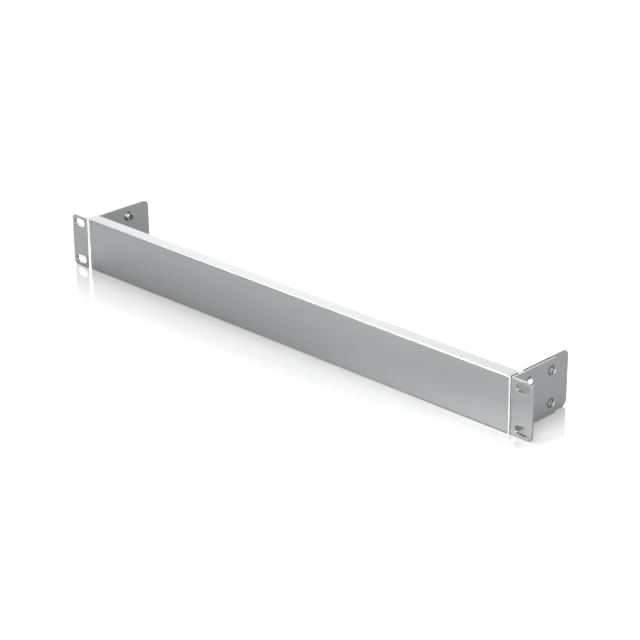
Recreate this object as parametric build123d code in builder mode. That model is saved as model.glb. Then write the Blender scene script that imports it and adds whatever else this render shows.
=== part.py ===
"""One-unit blanking panel for a 19 inch rack: a folded sheet panel with a screwed-on ear bracket at each end.

The origin is the centre of the four rack slots, on the rear faces of the ears, which bear on the rack's rails.
+X runs to the right as seen from the front, +Y runs back into the rack and +Z is up. Sizes are in millimetres.
"""
import os
from math import radians, tan

from build123d import *

# Size over all, as racks ask of a panel one unit high
overall_width = 482.6
panel_height = 43.7

# Folded sheet of the panel
sheet_thickness = 1.0
panel_inner_bend = 0.2
edge_flange_depth = 11.0
edge_flange_corner_radius = 3.0
side_flange_depth = 63.7
side_flange_corner_radius = 5.0
corner_slit = 0.2
corner_notch_length = 2.5
corner_notch_radius = 1.0

# Ear brackets
bracket_thickness = 2.0
bracket_top_step = 0.5
bracket_inner_bend = 0.4
ear_width = 19.9
ear_corner_radius = 3.0
leg_depth = 48.5
leg_corner_radius = 1.0

# Rack slots in the ears
slot_edge_distance = 8.75
slot_spacing_z = 31.75
slot_length = 12.0
slot_width = 6.6

# Screw holes in the brackets' legs
rear_row_inset = 5.5
hole_row_spacing = 25.0
hole_spacing_z = 25.0
leg_hole_diameter = 4.5
countersink_diameter = 8.2
countersink_angle = 90.0

# Flat-head screws
thread_diameter = 4.0
screw_length = 6.0
head_sink = 0.15
recess_span = 4.4
recess_wing = 1.0
recess_depth = 1.7
recess_taper = 9.0
screw_turns = (12.0, 38.0)

# Clinch nuts pressed into the side flanges
nut_diameter = 7.9
nut_height = 2.3
nut_shank_diameter = 5.4
nut_shank_short = 0.1
thread_clearance = 0.05

# Extra reach of a cut past the faces that it opens
overrun = 1.0
# Half width of the band in which edges are picked by their place
pick = 0.01

# Places worked out from the sizes
front_y = -bracket_thickness
panel_width = overall_width - 2 * ear_width
panel_half = panel_width / 2
panel_top = panel_height / 2
panel_outer_bend = panel_inner_bend + sheet_thickness
edge_flange_y = front_y + edge_flange_depth
notch_end_y = edge_flange_y + corner_notch_length
leg_outer_x = panel_half + bracket_thickness
leg_end_y = front_y + leg_depth
bracket_height = panel_height - bracket_top_step
ear_edge_x = overall_width / 2
slot_x = ear_edge_x - slot_edge_distance
screw_row_y = leg_end_y - rear_row_inset
leg_holes_y = screw_row_y - hole_row_spacing / 2


# Each fastener stands on its screw hole, with its own +Z pointing out of the panel's side
def fastener_seats(side, face_x):
    """Gives the seats of a side's fasteners (side -1 is the left), lower one first, at the distance face_x."""
    return [
        Plane(origin=(side * face_x, screw_row_y, z), x_dir=(0, side, 0), z_dir=(side, 0, 0))
        for z in (-hole_spacing_z / 2, hole_spacing_z / 2)
    ]


# Panel: a shallow tray folded from one sheet, open at the rear
with BuildPart() as front_panel:
    with BuildSketch(Plane.XY.offset(-panel_top)):
        with Locations((0, front_y + side_flange_depth / 2)):
            Rectangle(panel_width, side_flange_depth)
    extrude(amount=panel_height)
    front_face = front_panel.faces().sort_by(Axis.Y)[0]
    fillet(front_face.edges(), radius=panel_outer_bend)
    rear_face = front_panel.faces().sort_by(Axis.Y)[-1]
    offset(amount=-sheet_thickness, openings=rear_face)

    # The top and bottom walls end at the edge flanges, and only the side flanges run on
    with BuildSketch(Plane.XY.offset(-panel_top - overrun)):
        with Locations((0, edge_flange_y)):
            Rectangle(
                panel_width - 2 * sheet_thickness,
                side_flange_depth,
                align=(Align.CENTER, Align.MIN),
            )
    extrude(amount=panel_height + 2 * overrun, mode=Mode.SUBTRACT)

    # A slit and a notch part each edge flange from the side flange beside it
    with BuildSketch(Plane.YZ):
        with BuildLine():
            Polyline(
                (front_y + panel_outer_bend, panel_top - sheet_thickness - corner_slit),
                (notch_end_y, panel_top - sheet_thickness - corner_slit),
                (notch_end_y, panel_top + overrun),
                (edge_flange_y, panel_top + overrun),
                (edge_flange_y, panel_top - sheet_thickness),
                (front_y + panel_outer_bend, panel_top - sheet_thickness),
                close=True,
            )
        make_face()
        mirror(about=Plane.XZ)
    extrude(amount=panel_half + overrun, both=True, mode=Mode.SUBTRACT)

    upright_edges = front_panel.edges().filter_by(Axis.Z)
    flange_ends = upright_edges.filter_by_position(Axis.Y, edge_flange_y - pick, edge_flange_y + pick)
    fillet(flange_ends, radius=edge_flange_corner_radius)
    notch_edges = front_panel.edges().filter_by(Axis.X)
    notch_edges = notch_edges.filter_by_position(Axis.Y, notch_end_y - pick, notch_end_y + pick)
    notch_edges = notch_edges.group_by(Axis.Z)
    fillet(notch_edges[0] + notch_edges[-1], radius=corner_notch_radius)
    rear_edges = front_panel.edges().filter_by(Axis.X).group_by(Axis.Y)[-1]
    fillet(rear_edges, radius=side_flange_corner_radius)

    # Round holes in the side flanges hold the clinch nuts
    with BuildSketch(Plane.YZ):
        with Locations((screw_row_y, 0)):
            with GridLocations(0, hole_spacing_z, 1, 2):
                Circle(nut_shank_diameter / 2)
    extrude(amount=panel_half + overrun, both=True, mode=Mode.SUBTRACT)

front_panel.part.label = "front_panel"


# Right ear bracket: an L with the ear at the front and the leg along the side flange
with BuildPart() as right_ear_bracket:
    with BuildSketch(Plane.XY.offset(-panel_top)):
        with BuildLine():
            FilletPolyline(
                (ear_edge_x, front_y + bracket_thickness / 2),
                (panel_half + bracket_thickness / 2, front_y + bracket_thickness / 2),
                (panel_half + bracket_thickness / 2, leg_end_y),
                radius=bracket_inner_bend + bracket_thickness / 2,
            )
        trace(line_width=bracket_thickness)
    extrude(amount=bracket_height)
    ear_corners = right_ear_bracket.edges().filter_by(Axis.Y).group_by(Axis.X)[-1]
    fillet(ear_corners, radius=ear_corner_radius)
    leg_corners = right_ear_bracket.edges().filter_by(Axis.X).group_by(Axis.Y)[-1]
    fillet(leg_corners, radius=leg_corner_radius)

    # Rack slots, level with the middle of the panel
    with BuildSketch(Plane.XZ):
        with Locations((slot_x, 0)):
            with GridLocations(0, slot_spacing_z, 1, 2):
                SlotOverall(slot_length, slot_width)
    extrude(amount=bracket_thickness + overrun, both=True, mode=Mode.SUBTRACT)

    # Two rows of countersunk holes: the rear row is screwed, the front row is spare
    leg_face = Plane(origin=(leg_outer_x, leg_holes_y, 0), x_dir=(0, 1, 0), z_dir=(1, 0, 0))
    with Locations(leg_face):
        with GridLocations(hole_row_spacing, hole_spacing_z, 2, 2):
            CounterSinkHole(
                radius=leg_hole_diameter / 2,
                counter_sink_radius=countersink_diameter / 2,
                depth=bracket_thickness + overrun,
                counter_sink_angle=countersink_angle,
            )

right_ear_bracket.part.label = "right_ear_bracket"

with BuildPart() as left_ear_bracket:
    mirror(right_ear_bracket.part, about=Plane.YZ)

left_ear_bracket.part.label = "left_ear_bracket"


# Flat-head screw, drawn with its axis along Z and the top of its head at Z = 0
cone_slope = tan(radians(countersink_angle / 2))
head_radius = countersink_diameter / 2 - head_sink * cone_slope
thread_radius = thread_diameter / 2
head_height = (head_radius - thread_radius) / cone_slope

with BuildPart() as screw:
    with BuildSketch(Plane.XZ):
        with BuildLine():
            Polyline(
                (0, 0),
                (head_radius, 0),
                (thread_radius, -head_height),
                (thread_radius, -screw_length),
                (0, -screw_length),
                close=True,
            )
        make_face()
    revolve(axis=Axis.Z)
    with BuildSketch(Plane.XY):
        Rectangle(recess_span, recess_wing)
        Rectangle(recess_wing, recess_span)
    extrude(amount=-recess_depth, taper=recess_taper, mode=Mode.SUBTRACT)

# Clinch nut, with its axis along Z and the side flange's outer face at Z = 0
with BuildPart() as clinch_nut:
    with BuildSketch(Plane.XY.offset(-sheet_thickness - nut_height)):
        Circle(nut_diameter / 2)
    extrude(amount=nut_height)
    with BuildSketch(Plane.XY.offset(-sheet_thickness)):
        Circle(nut_shank_diameter / 2)
    extrude(amount=sheet_thickness - nut_shank_short)
    with BuildSketch(Plane.XY):
        Circle(thread_radius + thread_clearance)
    extrude(amount=-sheet_thickness - nut_height - overrun, mode=Mode.SUBTRACT)


def side_screws(side, label):
    """Groups the two screws of a side, each with its driver recess at an angle of its own."""
    with BuildPart() as group:
        for seat, turn in zip(fastener_seats(side, leg_outer_x - head_sink), screw_turns):
            with Locations(seat):
                add(screw.part, rotation=(0, 0, turn))
    group.part.label = label
    return group


def side_nuts(side, label):
    """Groups the two clinch nuts of a side."""
    with BuildPart() as group:
        with Locations(*fastener_seats(side, panel_half)):
            add(clinch_nut.part)
    group.part.label = label
    return group


right_bracket_screws = side_screws(1, "right_bracket_screws")
left_bracket_screws = side_screws(-1, "left_bracket_screws")
right_clinch_nuts = side_nuts(1, "right_clinch_nuts")
left_clinch_nuts = side_nuts(-1, "left_clinch_nuts")

os.makedirs("parts", exist_ok=True)
export_step(front_panel.part, "parts/front_panel.step")
export_step(right_ear_bracket.part, "parts/right_ear_bracket.step")
export_step(left_ear_bracket.part, "parts/left_ear_bracket.step")
export_step(right_bracket_screws.part, "parts/right_bracket_screws.step")
export_step(left_bracket_screws.part, "parts/left_bracket_screws.step")
export_step(right_clinch_nuts.part, "parts/right_clinch_nuts.step")
export_step(left_clinch_nuts.part, "parts/left_clinch_nuts.step")
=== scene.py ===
# %% [markdown]
# # Rack blanking panel
# A blanking panel closes an empty unit of a 19 inch rack. This one is a shallow tray folded from satin
# steel sheet, with an ear bracket of thicker plate screwed to each end. The solids come from the CAD
# frame, in metres. This file gives them their finishes and rounded edges, and adds a floor, a studio and
# a camera.

# %% Load the frame
from math import degrees, hypot, radians

import bpy
from mathutils import Matrix, Vector


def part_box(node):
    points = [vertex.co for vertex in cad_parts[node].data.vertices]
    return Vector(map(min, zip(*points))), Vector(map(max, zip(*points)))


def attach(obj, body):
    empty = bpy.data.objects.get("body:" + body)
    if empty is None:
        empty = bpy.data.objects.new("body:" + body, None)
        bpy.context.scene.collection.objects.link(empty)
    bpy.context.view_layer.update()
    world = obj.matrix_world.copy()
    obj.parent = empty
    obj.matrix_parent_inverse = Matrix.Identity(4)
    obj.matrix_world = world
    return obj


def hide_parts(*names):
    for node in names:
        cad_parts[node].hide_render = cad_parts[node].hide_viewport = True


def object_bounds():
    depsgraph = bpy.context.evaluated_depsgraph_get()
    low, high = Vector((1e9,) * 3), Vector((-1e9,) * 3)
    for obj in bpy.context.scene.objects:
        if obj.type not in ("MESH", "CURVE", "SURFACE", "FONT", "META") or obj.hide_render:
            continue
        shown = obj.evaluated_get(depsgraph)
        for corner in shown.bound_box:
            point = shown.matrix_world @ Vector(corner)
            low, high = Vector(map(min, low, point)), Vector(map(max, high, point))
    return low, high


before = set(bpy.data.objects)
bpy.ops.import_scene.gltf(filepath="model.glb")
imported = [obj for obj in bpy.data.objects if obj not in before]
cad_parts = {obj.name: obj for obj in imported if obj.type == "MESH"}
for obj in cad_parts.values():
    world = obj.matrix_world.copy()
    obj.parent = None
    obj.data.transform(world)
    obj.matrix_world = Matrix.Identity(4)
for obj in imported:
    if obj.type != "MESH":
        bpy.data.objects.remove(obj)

cad_box = [[float(v) for v in corner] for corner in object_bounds()]
print("CAD box:", cad_box)

# %% [markdown]
# ## Camera
# The photograph looks at the panel from its right front and from above. A camera is a place, a direction
# and a lens. It could be turned by hand until the view looks right, but these numbers were fitted to the
# slots and the long edges. The direction is written as two angles, because a photographer would say it
# that way, and the camera is turned a trifle about its own axis, since no tripod stands quite level.

# %% Camera
camera_place = Vector((1.05162, -1.03115, 0.63085))
camera_azimuth = 44.474
camera_elevation = 23.285
camera_roll = -0.469
camera_lens = 120.28
sensor_width = 36.0


def aim_from(azimuth, elevation):
    """Turns a camera or a lamp to look in from two angles in degrees. Azimuth 0 is in front of the panel
    and 90 is to its right, and elevation 90 is straight above."""
    return Matrix.Rotation(radians(azimuth), 4, "Z") @ Matrix.Rotation(radians(90 - elevation), 4, "X")


camera_data = bpy.data.cameras.new("camera")
camera_data.sensor_width = sensor_width
camera_data.lens = camera_lens
camera = bpy.data.objects.new("camera", camera_data)
bpy.context.collection.objects.link(camera)
camera.matrix_world = (
    Matrix.Translation(camera_place)
    @ aim_from(camera_azimuth, camera_elevation)
    @ Matrix.Rotation(radians(camera_roll), 4, "Z")
)
bpy.context.scene.camera = camera
print("camera at", [round(v, 3) for v in camera_place], "with a lens of", camera_lens, "mm")

# %% [markdown]
# ## A small language for shaders
# A finish is a network of nodes. Written node by node it is hard to read, so a class wraps the output of
# a node and lets Python's own signs add the Math nodes: grain * 0.1 + 0.4 is two nodes. Every other kind
# of node comes from add_node, which takes its settings first and then what goes into its sockets.

# %% Shader helper
class Signal:
    """The output of a shader node. Arithmetic on it adds Math nodes to its tree."""

    def __init__(self, tree, socket):
        self.tree = tree
        self.socket = socket

    def math(self, operation, first, second):
        return add_node(self.tree, "ShaderNodeMath", {"operation": operation}, {0: first, 1: second})

    def __add__(self, other):
        return self.math("ADD", self, other)

    def __radd__(self, other):
        return self.math("ADD", other, self)

    def __sub__(self, other):
        return self.math("SUBTRACT", self, other)

    def __rsub__(self, other):
        return self.math("SUBTRACT", other, self)

    def __mul__(self, other):
        return self.math("MULTIPLY", self, other)

    def __rmul__(self, other):
        return self.math("MULTIPLY", other, self)

    def magnitude(self):
        return self.math("ABSOLUTE", self, 0.0)

    def at_least(self, lowest):
        return self.math("MAXIMUM", self, lowest)

    def above(self, limit):
        return self.math("GREATER_THAN", self, limit)

    def root(self):
        return self.math("SQRT", self, 0.0)

    def axis(self, name):
        """One part of a vector: X, Y or Z."""
        return add_node(self.tree, "ShaderNodeSeparateXYZ", inputs={"Vector": self}, output=name)

    def ramp(self, start, end, first, last, shape="LINEAR"):
        """Goes from first to last while the signal goes from start to end, and stays level outside."""
        return add_node(self.tree, "ShaderNodeMapRange", {"interpolation_type": shape}, {
            "Value": self, "From Min": start, "From Max": end, "To Min": first, "To Max": last,
        })


def find_socket(sockets, key):
    """A node's socket by its number, or the one in use by its name."""
    if isinstance(key, int):
        return sockets[key]
    return next(socket for socket in sockets if socket.enabled and socket.name == key)


def add_node(tree, kind, settings=None, inputs=None, output=0):
    """Adds a node, applies its settings, then fills its sockets with values or links."""
    node = tree.nodes.new(kind)
    for name, value in (settings or {}).items():
        setattr(node, name, value)
    for key, value in (inputs or {}).items():
        socket = find_socket(node.inputs, key)
        if isinstance(value, Signal):
            tree.links.new(value.socket, socket)
        else:
            socket.default_value = value
    return Signal(tree, find_socket(node.outputs, output)) if node.outputs else None


def blend_colors(share, first, second):
    """A color that goes from the first to the second as the share goes from 0 to 1."""
    colors = {"Factor": share, "A": first, "B": second}
    return add_node(share.tree, "ShaderNodeMix", {"data_type": "RGBA"}, colors, output="Result")


def new_material(name):
    """An empty node material, with its tree."""
    material = bpy.data.materials.new(name)
    material.use_nodes = True
    material.node_tree.nodes.clear()
    return material, material.node_tree


def show_surface(tree, shader):
    """Sends a shader to the material's surface."""
    add_node(tree, "ShaderNodeOutputMaterial", inputs={"Surface": shader})


print("shader helper ready")

# %% [markdown]
# ## Satin steel
# Cold-rolled sheet is neither a mirror nor matt: its fine grain spreads each reflection. The color of a
# metal is the color of what it reflects, so the base color is a neutral grey and the roughness does the
# work. Fine noise along the rolling direction varies the roughness a little and gives a bump of a few
# thousandths of a millimetre, and a broad noise makes one place a shade lighter than another, as on any
# real sheet. A picture of brushed metal could do that too, but noise on Object coordinates has no seams.
#
# The press brake stretches and burnishes the bends, so their roughness is lower. Their base color is also
# much brighter, which is a painted highlight along each bend. They could be painted with a material of
# their own, but a mask fades softly into the flat faces. A face that looks along X, Y or Z is flat, and
# any
# other is a bend: the fourth powers of a normal's three parts add up to 1 on a flat face and to less on a
# bend. Bends that look down get no painted highlight, because the panel's lower edge lies in shade.

# %% Steel finish
panel_low, panel_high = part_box("front_panel")
panel_side = panel_high[0]
noise_middle = 0.5
grain_detail = 3.0
grain_roughness = 0.08
grain_bump = 0.25
grain_depth = 0.00002
cloud_scale = 14.0
cloud_detail = 2.0
cloud_roughness = 0.05
# bend_start and bend_full say where the painted highlight along the bends begins and where it is full.
bend_start = 0.1
bend_full = 0.35
bend_polish = 0.12
underside = -0.3
painted_recess_highlight_core = 0.6


def satin_steel(
    name, color, painted_highlight_color, roughness, grain_scale, cloud_depth, flat_axes="XYZ", painted_recess_highlight=None
):
    """A metal finish. grain_scale is how fine the grain is along X, Y and Z, in lines a metre. A face that
    looks along none of the flat_axes takes the highlight color, a painted highlight. Where the last
    argument is given, two round places outside the panel's side take it instead, as a painted highlight
    round the screws' recesses: that argument holds their Y, their height over and under the middle, and
    their radius."""
    material, tree = new_material(name)
    place = add_node(tree, "ShaderNodeTexCoord", output="Object")
    facing = add_node(tree, "ShaderNodeTexCoord", output="Normal")
    stretched = add_node(tree, "ShaderNodeMapping", inputs={"Vector": place, "Scale": grain_scale})
    grain = add_node(
        tree, "ShaderNodeTexNoise", inputs={"Vector": stretched, "Scale": 1.0, "Detail": grain_detail}
    )
    cloud = add_node(
        tree, "ShaderNodeTexNoise", inputs={"Vector": place, "Scale": cloud_scale, "Detail": cloud_detail}
    )
    darker = [c * (1 - cloud_depth) for c in color] + [1.0]
    lighter = [c * (1 + cloud_depth) for c in color] + [1.0]

    if painted_recess_highlight:
        painted_recess_highlight_y, painted_recess_highlight_z, radius = painted_recess_highlight
        along = place.axis("Y") - painted_recess_highlight_y
        upward = place.axis("Z").magnitude() - painted_recess_highlight_z
        from_axis = (along * along + upward * upward).root()
        outside = place.axis("X").magnitude().above(panel_side)
        # A painted highlight: a bright round place round each screw's recess.
        painted_highlight_mask = outside * from_axis.ramp(painted_recess_highlight_core * radius, radius, 1.0, 0.0)
    else:
        bent = 1.0
        for axis in flat_axes:
            part = facing.axis(axis)
            bent = bent - part * part * part * part
        # A painted highlight along the bends, left off those that look down into shade.
        painted_highlight_mask = bent.ramp(bend_start, bend_full, 0.0, 1.0) * facing.axis("Z").ramp(underside, 0.0, 0.0, 1.0)

    relief = add_node(
        tree, "ShaderNodeBump", inputs={"Strength": grain_bump, "Distance": grain_depth, "Height": grain}
    )
    # The base color takes the highlight color where the mask says: a painted highlight.
    steel = add_node(tree, "ShaderNodeBsdfPrincipled", inputs={
        "Base Color": blend_colors(painted_highlight_mask, blend_colors(cloud, darker, lighter), [*painted_highlight_color, 1.0]),
        "Metallic": 1.0,
        "Roughness": (
            roughness
            + cloud_roughness * (cloud - noise_middle)
            + grain_roughness * (grain - noise_middle)
            - bend_polish * painted_highlight_mask
        ),
        "Normal": relief,
    })
    show_surface(tree, steel)
    print(name, "has", len(tree.nodes), "nodes")
    return material


print("steel finish ready")

# %% [markdown]
# ## Four steels
# One recipe with four sets of numbers keeps the pieces a family. The panel and its brackets are the same
# bare steel in two thicknesses, and their grain runs along the panel. The screws are plated dark, and
# round their recess they get a painted highlight, a bright place found by its distance to the screw's
# axis. The
# nuts are plated and turned: they are round about X, so only their ends count as flat, and their round
# sides get a painted highlight. A turned piece has no rolling direction, so its grain is as fine in every
# direction.

# %% Four steels
# The radius of the painted highlight round each screw's recess.
painted_recess_highlight_radius = 0.0021


def fastener_axis(node):
    """The place of a side's two fasteners, whose axes run along X: their Y, their height over and under
    the middle, and their full radius."""
    low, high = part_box(node)
    radius = (high[1] - low[1]) / 2
    return low[1] + radius, high[2] - radius, radius


screw_y, screw_z, head_radius = fastener_axis("right_bracket_screws")
print("the painted recess highlight covers", round(painted_recess_highlight_radius / head_radius, 2), "of a screw head's radius")

# The light colors of the sheet and the plate are a painted highlight along their bends.
sheet_finish = satin_steel(
    "satin sheet steel",
    color=(0.303, 0.306, 0.31),
    painted_highlight_color=(0.86, 0.86, 0.86),
    roughness=0.36,
    grain_scale=(300, 2500, 2500),
    cloud_depth=0.03,
)
plate_finish = satin_steel(
    "satin plate steel",
    color=(0.3, 0.303, 0.307),
    painted_highlight_color=(0.76, 0.76, 0.76),
    roughness=0.36,
    grain_scale=(300, 2500, 2500),
    cloud_depth=0.03,
)
# The screws' light color is a painted highlight round their recess.
screw_finish = satin_steel(
    "dark plated screw steel",
    color=(0.15, 0.154, 0.16),
    painted_highlight_color=(0.85, 0.85, 0.85),
    roughness=0.4,
    grain_scale=(3000, 3000, 3000),
    cloud_depth=0.05,
    painted_recess_highlight=(screw_y, screw_z, painted_recess_highlight_radius),
)
# The nuts' light color is a painted highlight on their round sides.
nut_finish = satin_steel(
    "plated nut steel with painted highlight",
    color=(0.36, 0.363, 0.368),
    painted_highlight_color=(0.95, 0.95, 0.95),
    roughness=0.5,
    grain_scale=(3000, 3000, 3000),
    cloud_depth=0.04,
    flat_axes="X",
)

# %% [markdown]
# ## Edges
# No real sheet ends in a knife edge: shearing and tumbling leave a tiny round along every cut, and that
# round is what catches the light and draws the outline. The CAD solids have sharp cuts. A Bevel node in
# the finish would only shade them round, and the mesh would keep its sharp cuts. So each node is copied,
# its loose triangles are merged and joined to flat faces, and a Bevel modifier rounds every edge sharper
# than a bend's facets. Weighted normals then keep the large faces flat. The copy stands for its node and
# keeps its form.

# %% Copy a node
merge_reach = 0.000001
flat_angle = radians(1)


def copy_node(node, finish):
    """Copies a CAD node, merges its loose triangles into flat faces and gives it a finish."""
    bpy.ops.object.select_all(action="DESELECT")
    piece = bpy.data.objects.new(node + "_finished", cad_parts[node].data.copy())
    bpy.context.collection.objects.link(piece)
    bpy.context.view_layer.objects.active = piece
    piece.select_set(True)
    bpy.ops.object.mode_set(mode="EDIT")
    bpy.ops.mesh.select_all(action="SELECT")
    bpy.ops.mesh.remove_doubles(threshold=merge_reach)
    bpy.ops.mesh.dissolve_limited(angle_limit=flat_angle)
    bpy.ops.mesh.select_all(action="DESELECT")
    bpy.ops.object.mode_set(mode="OBJECT")
    piece.data.materials.clear()
    piece.data.materials.append(finish)
    return piece


print("a copy merges points within", merge_reach, "m")


# %% Round the edges of a piece
sharp_angle = radians(35)


def round_edges(piece, radius):
    """Rounds all sharp edges and shades the faces between them flat."""
    rounding = piece.modifiers.new("rounding", "BEVEL")
    rounding.width = radius
    rounding.segments = 2
    rounding.angle_limit = sharp_angle
    rounding.use_clamp_overlap = False
    bpy.ops.object.modifier_apply(modifier=rounding.name)
    bpy.ops.object.shade_smooth_by_angle(angle=sharp_angle)
    weights = piece.modifiers.new("weights", "WEIGHTED_NORMAL")
    weights.keep_sharp = True
    bpy.ops.object.modifier_apply(modifier=weights.name)


def stand_in(piece, node):
    """Lets a piece stand for its CAD node."""
    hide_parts(node)
    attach(piece, "root")
    print(piece.name, "has", len(piece.data.polygons), "faces")


print("edges past", round(degrees(sharp_angle)), "degrees are rounded")


# %% Panel and brackets
sheet_edge_radius = 0.0002
plate_edge_radius = 0.0001

panel = copy_node("front_panel", sheet_finish)
round_edges(panel, sheet_edge_radius)
stand_in(panel, "front_panel")
for node in ("left_ear_bracket", "right_ear_bracket"):
    bracket = copy_node(node, plate_finish)
    round_edges(bracket, plate_edge_radius)
    stand_in(bracket, node)

# %% [markdown]
# ## Screws and nuts
# A turned part has chamfers: one leads the screw's tip into the nut, and one takes the burr off the nut's
# end. A new cone could be joined on, but the bevel operator cuts them as a lathe would, along rings of
# edges. The rings are picked by where they lie: at the end that is farthest in, and for the nut also at
# its full radius from the screw's axis.

# %% Screws and nuts
tip_chamfer = 0.0002
nut_chamfer = 0.00025
fastener_edge_radius = 0.00005
on_plane = 0.00001


def bevel_rings(piece, picked, offset):
    """Cuts a chamfer along the edges whose two ends are both picked."""
    bpy.ops.object.mode_set(mode="EDIT")
    bpy.ops.mesh.select_mode(type="EDGE")
    bpy.ops.mesh.select_all(action="DESELECT")
    bpy.ops.object.mode_set(mode="OBJECT")
    points = piece.data.vertices
    for edge in piece.data.edges:
        edge.select = all(picked(points[end].co) for end in edge.vertices)
    bpy.ops.object.mode_set(mode="EDIT")
    bpy.ops.mesh.bevel(offset=offset, segments=1)
    bpy.ops.object.mode_set(mode="OBJECT")


for side in ("left", "right"):
    node = side + "_bracket_screws"
    screws = copy_node(node, screw_finish)
    tip_x = min(abs(point.co.x) for point in screws.data.vertices)
    bevel_rings(screws, lambda place: abs(place.x) < tip_x + on_plane, tip_chamfer)
    round_edges(screws, fastener_edge_radius)
    stand_in(screws, node)

    node = side + "_clinch_nuts"
    nuts = copy_node(node, nut_finish)
    end_x = min(abs(point.co.x) for point in nuts.data.vertices)
    nut_y, nut_z, nut_radius = fastener_axis(node)
    bevel_rings(
        nuts,
        lambda place: abs(place.x) < end_x + on_plane
        and hypot(place.y - nut_y, abs(place.z) - nut_z) > nut_radius - on_plane,
        nut_chamfer,
    )
    round_edges(nuts, fastener_edge_radius)
    stand_in(nuts, node)

# %% [markdown]
# ## Floor
# The photograph has no room in it: the panel stands on a white floor that runs out of sight. Paint alone
# would turn grey away from the lamps, and a floor that only glows would show no shadow, so it is white
# paint with a little glow, which the camera and the metal's reflections see as well. The Ambient Occlusion
# node darkens the glow where the panel shuts out the room, so that its lower edge keeps a dark line. The
# floor mirrors the panel where it stands, and the mirror fades out within a hand's breadth, sooner at the
# sides. Its share comes from the distance to the panel, worked out from Object coordinates.

# %% Floor
panel_front, panel_back = panel_low[1], panel_high[1]
pure_white = (1.0, 1.0, 1.0, 1.0)
pure_black = (0.0, 0.0, 0.0, 1.0)
floor_size = 10.0
floor_drop = 0.00005
floor_glow = 0.46
floor_paint = (0.76, 0.76, 0.76, 1.0)
occlusion_reach = 0.02
floor_mirror = 0.42
mirror_roughness = 0.1
mirror_reach = 0.072
side_fade = 2.2

bpy.ops.object.select_all(action="DESELECT")
bpy.ops.mesh.primitive_plane_add(size=floor_size, location=(0, 0, cad_box[0][2] - floor_drop))
floor = bpy.context.object
floor.name = "floor"
floor_material, tree = new_material("white floor")
seen = add_node(tree, "ShaderNodeLightPath", output="Is Camera Ray")
mirrored = add_node(tree, "ShaderNodeLightPath", output="Is Glossy Ray")
passed = add_node(tree, "ShaderNodeLightPath", output="Is Transmission Ray")
open_room = add_node(
    tree, "ShaderNodeAmbientOcclusion", {"samples": 8}, {"Distance": occlusion_reach}, output="AO"
)
glow = add_node(tree, "ShaderNodeEmission", inputs={
    "Color": blend_colors(open_room, pure_black, pure_white),
    "Strength": floor_glow * (seen + mirrored + passed),
})
paint = add_node(tree, "ShaderNodeBsdfDiffuse", inputs={"Color": floor_paint})
glowing_paint = add_node(tree, "ShaderNodeAddShader", inputs={0: glow, 1: paint})
mirror = add_node(
    tree, "ShaderNodeBsdfAnisotropic", inputs={"Color": pure_white, "Roughness": mirror_roughness}
)

place = add_node(tree, "ShaderNodeTexCoord", output="Object")
beside = side_fade * (place.axis("X").magnitude() - panel_side).at_least(0.0)
ahead = (panel_front - place.axis("Y")).at_least(0.0)
behind = (place.axis("Y") - panel_back).at_least(0.0)
distance = (beside * beside + ahead * ahead + behind * behind).root()
share = distance.ramp(0.0, mirror_reach, floor_mirror, 0.0)
show_surface(tree, add_node(tree, "ShaderNodeMixShader", inputs={0: share, 1: glowing_paint, 2: mirror}))
floor.data.materials.append(floor_material)
print("floor at", round(floor.location.z, 5))

# %% [markdown]
# ## Studio
# Metal shows its surroundings. A world of one even white would leave it flat, so large lamps give a soft
# light with a shape, and each stands where one kind of face reflects it. The key lamp is over the camera's
# shoulder. The front lamp stands near, so that the face grows brighter from end to end, and the two lamps
# high at the left draw the line along its top bend. Those at the right light the brackets' legs, the
# slots' walls and the screws, the right back lamp lights the rims of the empty holes, and the back lamp
# the top flange. The world adds a little even light and a white drape behind the panel, and the camera
# sees it white all round.

# %% World
world_light = 0.08
drape_side = Vector((-0.69, 0.72, 0.0))
drape_edge = 0.55
drape_middle = 0.8

world = bpy.data.worlds.new("studio")
bpy.context.scene.world = world
world.use_nodes = True
tree = world.node_tree
tree.nodes.clear()
seen = add_node(tree, "ShaderNodeLightPath", output="Is Camera Ray")
toward = add_node(tree, "ShaderNodeTexCoord", output="Generated")
turned = add_node(
    tree, "ShaderNodeVectorMath", {"operation": "DOT_PRODUCT"}, {0: toward, 1: drape_side}, output="Value"
)
drape = turned.ramp(drape_edge, drape_middle, world_light, 1.0, shape="SMOOTHSTEP")
background = add_node(
    tree, "ShaderNodeBackground", inputs={"Color": pure_white, "Strength": drape + (1 - drape) * seen}
)
add_node(tree, "ShaderNodeOutputWorld", inputs={"Surface": background})
print("the world has", len(tree.nodes), "nodes")

# %% Lamps
# name: azimuth and elevation in degrees, distance and width in metres, watts
lamps = {
    "key lamp": (45, 30, 2.0, 0.8, 15.0),
    "front lamp": (-14, 13, 0.9, 0.45, 6.6),
    "left lamp": (-58, 42, 2.0, 0.8, 4.0),
    "high left lamp": (-98, 52, 2.0, 0.8, 5.0),
    "right lamp": (75, 20, 2.0, 0.8, 7.0),
    "low right lamp": (60, 8, 2.0, 0.8, 9.3),
    "high right lamp": (79, 38, 2.0, 0.8, 3.5),
    "far right lamp": (120, 20, 2.0, 0.8, 0.6),
    "right back lamp": (147, 31, 2.0, 0.8, 2.4),
    "back lamp": (-135, 30, 2.2, 1.4, 10.6),
}
for name, (azimuth, elevation, distance, width, watts) in lamps.items():
    light = bpy.data.lights.new(name, "AREA")
    light.shape = "DISK"
    light.size = width
    light.energy = watts
    lamp = bpy.data.objects.new(name, light)
    bpy.context.collection.objects.link(lamp)
    lamp.matrix_world = aim_from(azimuth, elevation) @ Matrix.Translation((0, 0, distance))
    lamp.visible_camera = False
    print(name, "at", [round(v, 2) for v in lamp.matrix_world.translation])

# %% [markdown]
# The Standard view shows each tone as it was mixed.

bpy.context.scene.view_settings.view_transform = "Standard"
